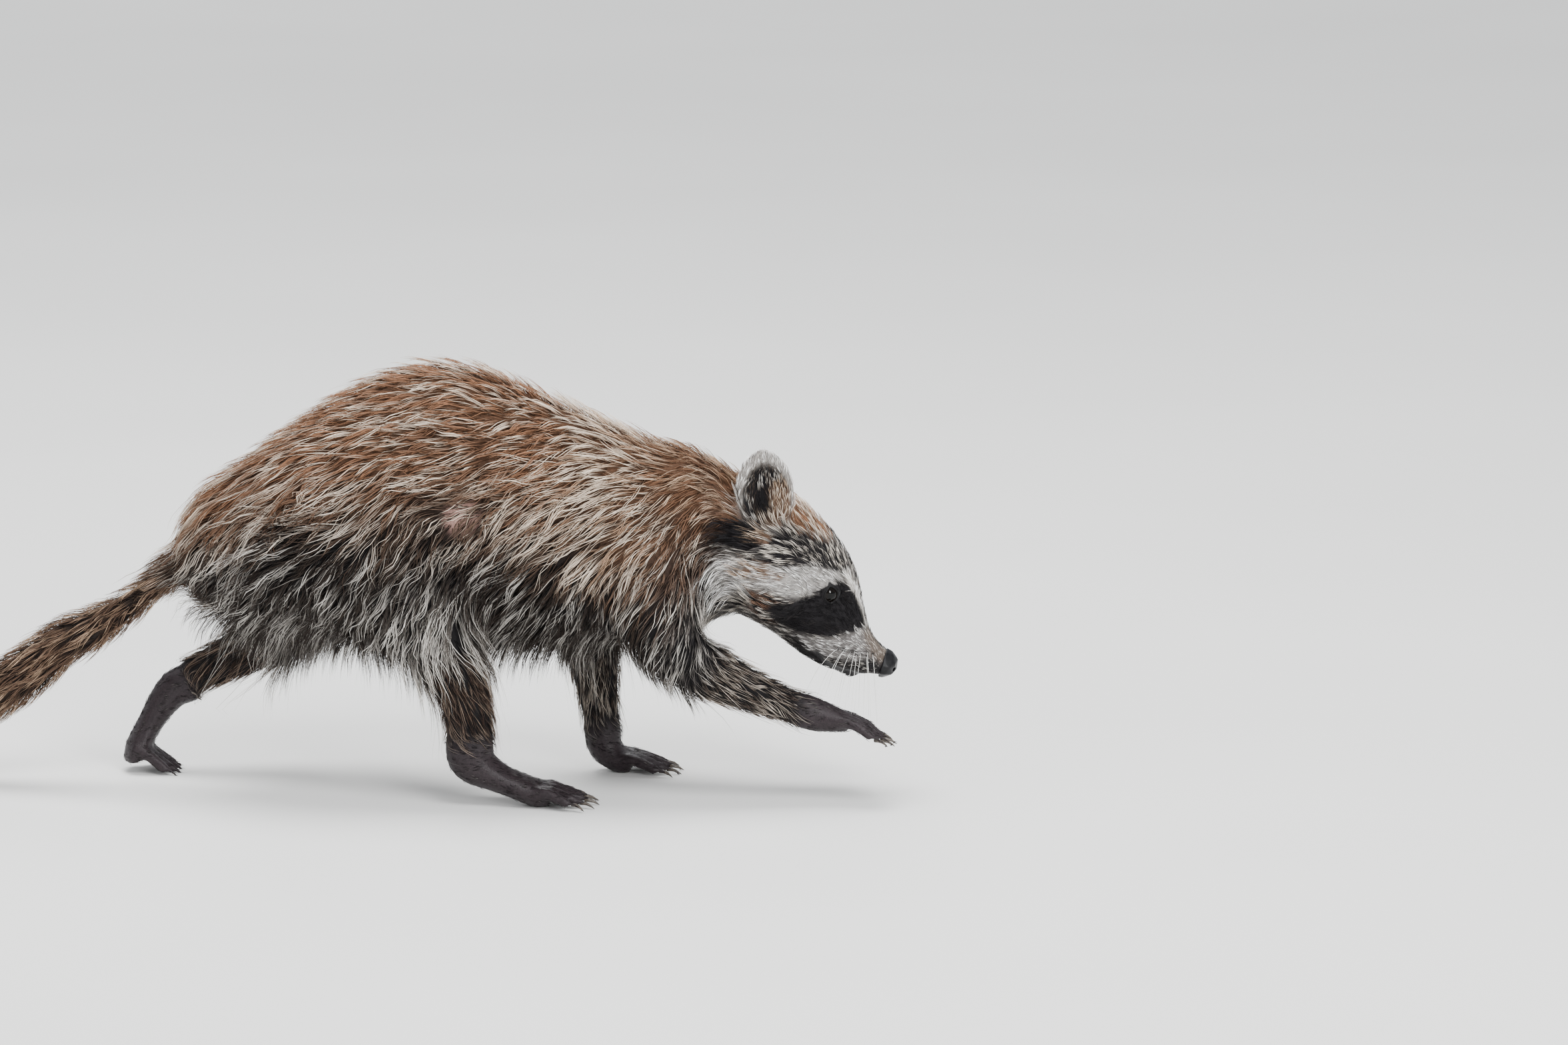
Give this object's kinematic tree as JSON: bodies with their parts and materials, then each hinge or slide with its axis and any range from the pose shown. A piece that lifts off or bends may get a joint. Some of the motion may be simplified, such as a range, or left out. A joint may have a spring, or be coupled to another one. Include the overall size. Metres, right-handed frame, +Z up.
{
  "type": "walking raccoon",
  "caption": "Life-size still model of a raccoon in mid stride, head low and tail trailing, for natural scenes and displays.",
  "frame": {"origin": "on the floor, under the middle of the bounding box", "axes": "+X towards the nose along the direction of travel, +Y to the animal's left, +Z up"},
  "size_m": [0.6072, 0.152, 0.2635],
  "materials": {
    "coat_grizzled": "long wavy damp fur, reddish brown with cream tips",
    "coat_legs": "short dark grey-brown fur",
    "coat_face": "short fur with a dark mask between pale bands",
    "coat_ears": "short pale fur, dark inside",
    "coat_tail": "thin brown fur with faint rings",
    "bare_paws": "dark skin, nearly bare",
    "eyes": "wet black-brown",
    "nose_pad": "moist pebbled black"
  },
  "bodies": {
    "root": {"ear_left": "coat_ears", "ear_right": "coat_ears", "eye_left": "eyes", "eye_right": "eyes", "forearm_left": "coat_legs", "forearm_right": "coat_legs", "hand_left": "bare_paws", "hand_right": "bare_paws", "head": "coat_face", "hind_foot_left": "bare_paws", "hind_foot_right": "bare_paws", "neck": "coat_grizzled", "nose": "nose_pad", "shank_left": "coat_legs", "shank_right": "coat_legs", "tail_base": "coat_tail", "tail_tip": "coat_tail", "thigh_left": "coat_grizzled", "thigh_right": "coat_grizzled", "trunk": "coat_grizzled", "upper_arm_left": "coat_grizzled", "upper_arm_right": "coat_grizzled"}
  },
  "joints": []
}
